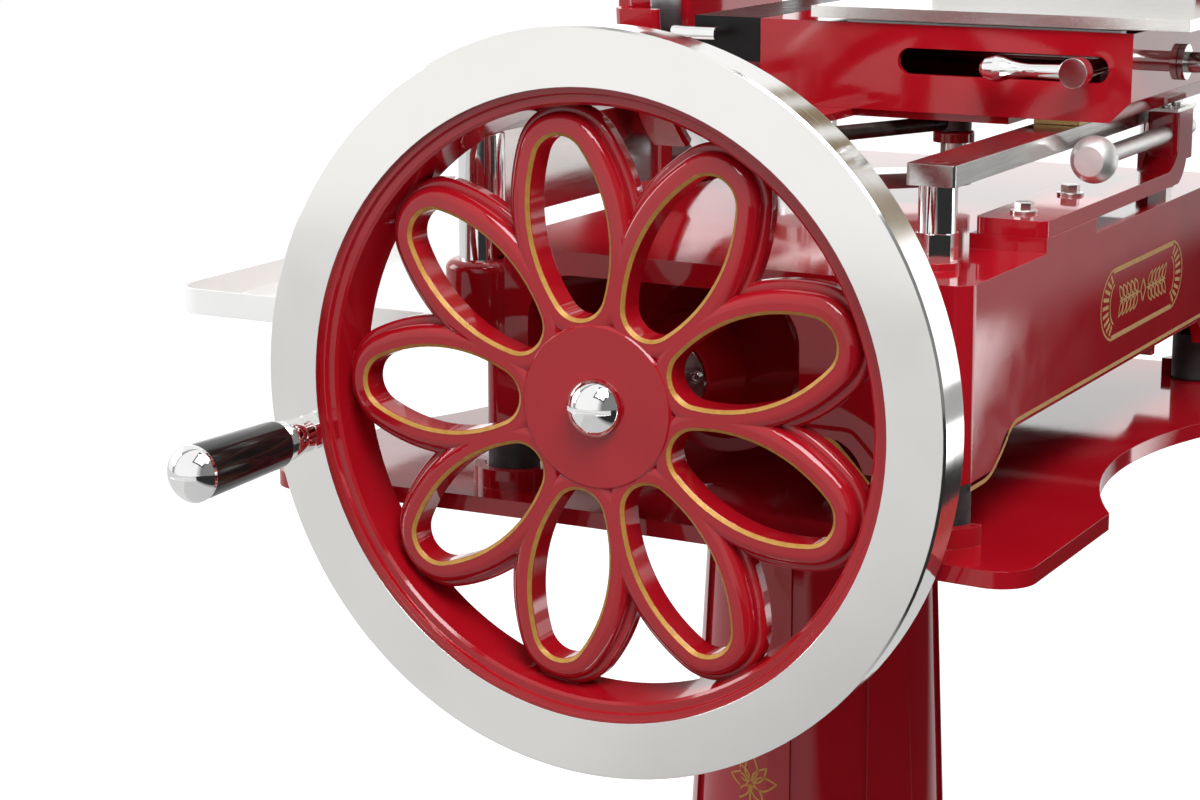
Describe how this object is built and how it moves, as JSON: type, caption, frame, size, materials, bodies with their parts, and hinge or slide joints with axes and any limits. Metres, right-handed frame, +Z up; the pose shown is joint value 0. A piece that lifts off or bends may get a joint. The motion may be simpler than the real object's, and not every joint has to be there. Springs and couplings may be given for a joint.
{
  "type": "hand crank meat slicer",
  "caption": "Hand cranked meat slicer on a pedestal: petal-spoked flywheel, round knife with guard, sliding carriage with screw feed, slice tray and sharpener.",
  "frame": {"origin": "on the floor, at the upright axis of the pedestal's column", "axes": "+Z up, +X along the main shaft towards the flywheel, -Y to the operator's side with the knife and the slice tray"},
  "size_m": [0.9142, 0.781, 1.3579],
  "materials": {
    "red_enamel": "deep gloss",
    "polished_rim": "polished",
    "bright_chrome": "polished",
    "stainless": "fine satin",
    "blade_steel": "ground",
    "machine_steel": "satin",
    "dark_steel": "blackened",
    "black_plastic": "gloss",
    "black_rubber": "matt",
    "bronze": "machined",
    "grey_stone": "gritty"
  },
  "bodies": {
    "machine": {"pedestal_foot": "red_enamel", "pedestal_column": "red_enamel", "stand_plate": "red_enamel", "stand_bolts": "machine_steel", "machine_feet": "black_rubber", "base_casting": "red_enamel", "shaft_bushes": "bronze", "bearing_cap": "machine_steel", "rear_rail_posts": "bright_chrome", "rear_rail": "machine_steel", "front_rail_posts": "bright_chrome", "front_rail": "machine_steel", "regulator_bracket": "red_enamel", "bracket_bolts": "machine_steel", "regulator_plate": "stainless", "knife_stand": "red_enamel", "chain_cover": "stainless", "knife_bush": "bronze", "knife_cover": "red_enamel", "knife_guard": "red_enamel", "drive_chain": "dark_steel", "side_supports": "stainless", "sharpener_mount": "red_enamel", "frame_screws": "bright_chrome"},
    "flywheel": {"flywheel_rim": "polished_rim", "flywheel_spider": "red_enamel", "hub_nut": "bright_chrome", "main_shaft": "machine_steel", "handle_spindle": "bright_chrome", "drive_gears": "dark_steel"},
    "grip": {"handle_grip": "black_plastic", "grip_cap": "bright_chrome"},
    "crank": {"crank_gear": "dark_steel", "crank_arm": "machine_steel", "crank_cap": "red_enamel"},
    "cross_drive": {"cross_gear": "dark_steel", "cross_shaft": "machine_steel"},
    "knife_unit": {"knife_shaft": "machine_steel", "knife": "blade_steel", "knife_plate": "red_enamel"},
    "carriage": {"carriage_frame": "red_enamel", "carriage_shoes": "bronze", "feed_housing": "red_enamel", "slide_cover": "black_plastic", "carriage_handle": "bright_chrome"},
    "rod": {"connecting_rod": "dark_steel"},
    "table": {"meat_table": "stainless", "table_nut": "machine_steel", "clamp_post": "bright_chrome"},
    "clamp": {"meat_clamp": "stainless"},
    "feed": {"feed_screw": "machine_steel", "feed_handle": "bright_chrome"},
    "lever": {"release_lever": "bright_chrome"},
    "regulator": {"regulator_rod": "bright_chrome"},
    "deflector": {"slice_deflector": "stainless"},
    "sharpener": {"sharpener_body": "red_enamel", "sharpener_knobs": "bright_chrome"},
    "stones": {"sharpening_stones": "grey_stone"},
    "tray": {"slice_tray": "stainless"}
  },
  "joints": [
    {"name": "flywheel_spin", "type": "hinge", "parent": "machine", "child": "flywheel", "pos_m": [0.3, 0, 0.866], "axis": [1, 0, 0], "continuous": true},
    {"name": "grip_spin", "type": "hinge", "parent": "flywheel", "child": "grip", "pos_m": [0.48, -0.22749, 0.82589], "axis": [1, 0, 0], "continuous": true},
    {"name": "crank_spin", "type": "hinge", "parent": "machine", "child": "crank", "pos_m": [0.014, 0, 0.95], "axis": [0, 0, 1], "continuous": true},
    {"name": "cross_spin", "type": "hinge", "parent": "machine", "child": "cross_drive", "pos_m": [-0.16, -0.1, 0.866], "axis": [0, 1, 0], "continuous": true},
    {"name": "knife_spin", "type": "hinge", "parent": "machine", "child": "knife_unit", "pos_m": [-0.16, -0.165, 1.115], "axis": [0, 1, 0], "continuous": true},
    {"name": "carriage_slide", "type": "slide", "parent": "machine", "child": "carriage", "axis": [1, 0, 0], "range_m": [-0.0213, 0.1986]},
    {"name": "rod_swing", "type": "hinge", "parent": "carriage", "child": "rod", "pos_m": [0.11525, 0.007, 1.02], "axis": [0, 0, 1], "range_deg": [-9.5, 61]},
    {"name": "table_feed", "type": "slide", "parent": "carriage", "child": "table", "axis": [0, -1, 0], "range_m": [0, 0.14]},
    {"name": "feed_screw_turn", "type": "hinge", "parent": "carriage", "child": "feed", "pos_m": [-0.105, 0.1, 1.071], "axis": [0, 1, 0], "range_deg": [0, 7200]},
    {"name": "release_lever_tilt", "type": "hinge", "parent": "table", "child": "lever", "pos_m": [0, 0.216, 1.074], "axis": [1, 0, 0], "range_deg": [-45, 8]},
    {"name": "clamp_height", "type": "slide", "parent": "table", "child": "clamp", "axis": [0, 0, -1], "range_m": [0, 0.08]},
    {"name": "regulator_stop", "type": "slide", "parent": "machine", "child": "regulator", "axis": [1, 0, 0], "range_m": [0, 0.03]},
    {"name": "deflector_swing", "type": "hinge", "parent": "machine", "child": "deflector", "pos_m": [0.196, -0.206, 1], "axis": [0, 0, 1], "range_deg": [0, 60]},
    {"name": "sharpener_swing", "type": "hinge", "parent": "machine", "child": "sharpener", "pos_m": [-0.16, -0.1985, 1.292], "axis": [1, 0, 0], "range_deg": [0, 60]},
    {"name": "stone_spin", "type": "hinge", "parent": "sharpener", "child": "stones", "pos_m": [-0.16, -0.165, 1.304], "axis": [0, 1, 0], "continuous": true},
    {"name": "tray_pull", "type": "slide", "parent": "machine", "child": "tray", "axis": [0, -1, 0], "range_m": [0, 0.12]}
  ],
  "couplings": [
    {"joint": "crank_spin", "follows": "flywheel_spin", "ratio": -1},
    {"joint": "cross_spin", "follows": "flywheel_spin", "ratio": 1},
    {"joint": "knife_spin", "follows": "flywheel_spin", "ratio": 2},
    {"joint": "feed_screw_turn", "follows": "table_feed", "rad_per_m": 897.6}
  ]
}
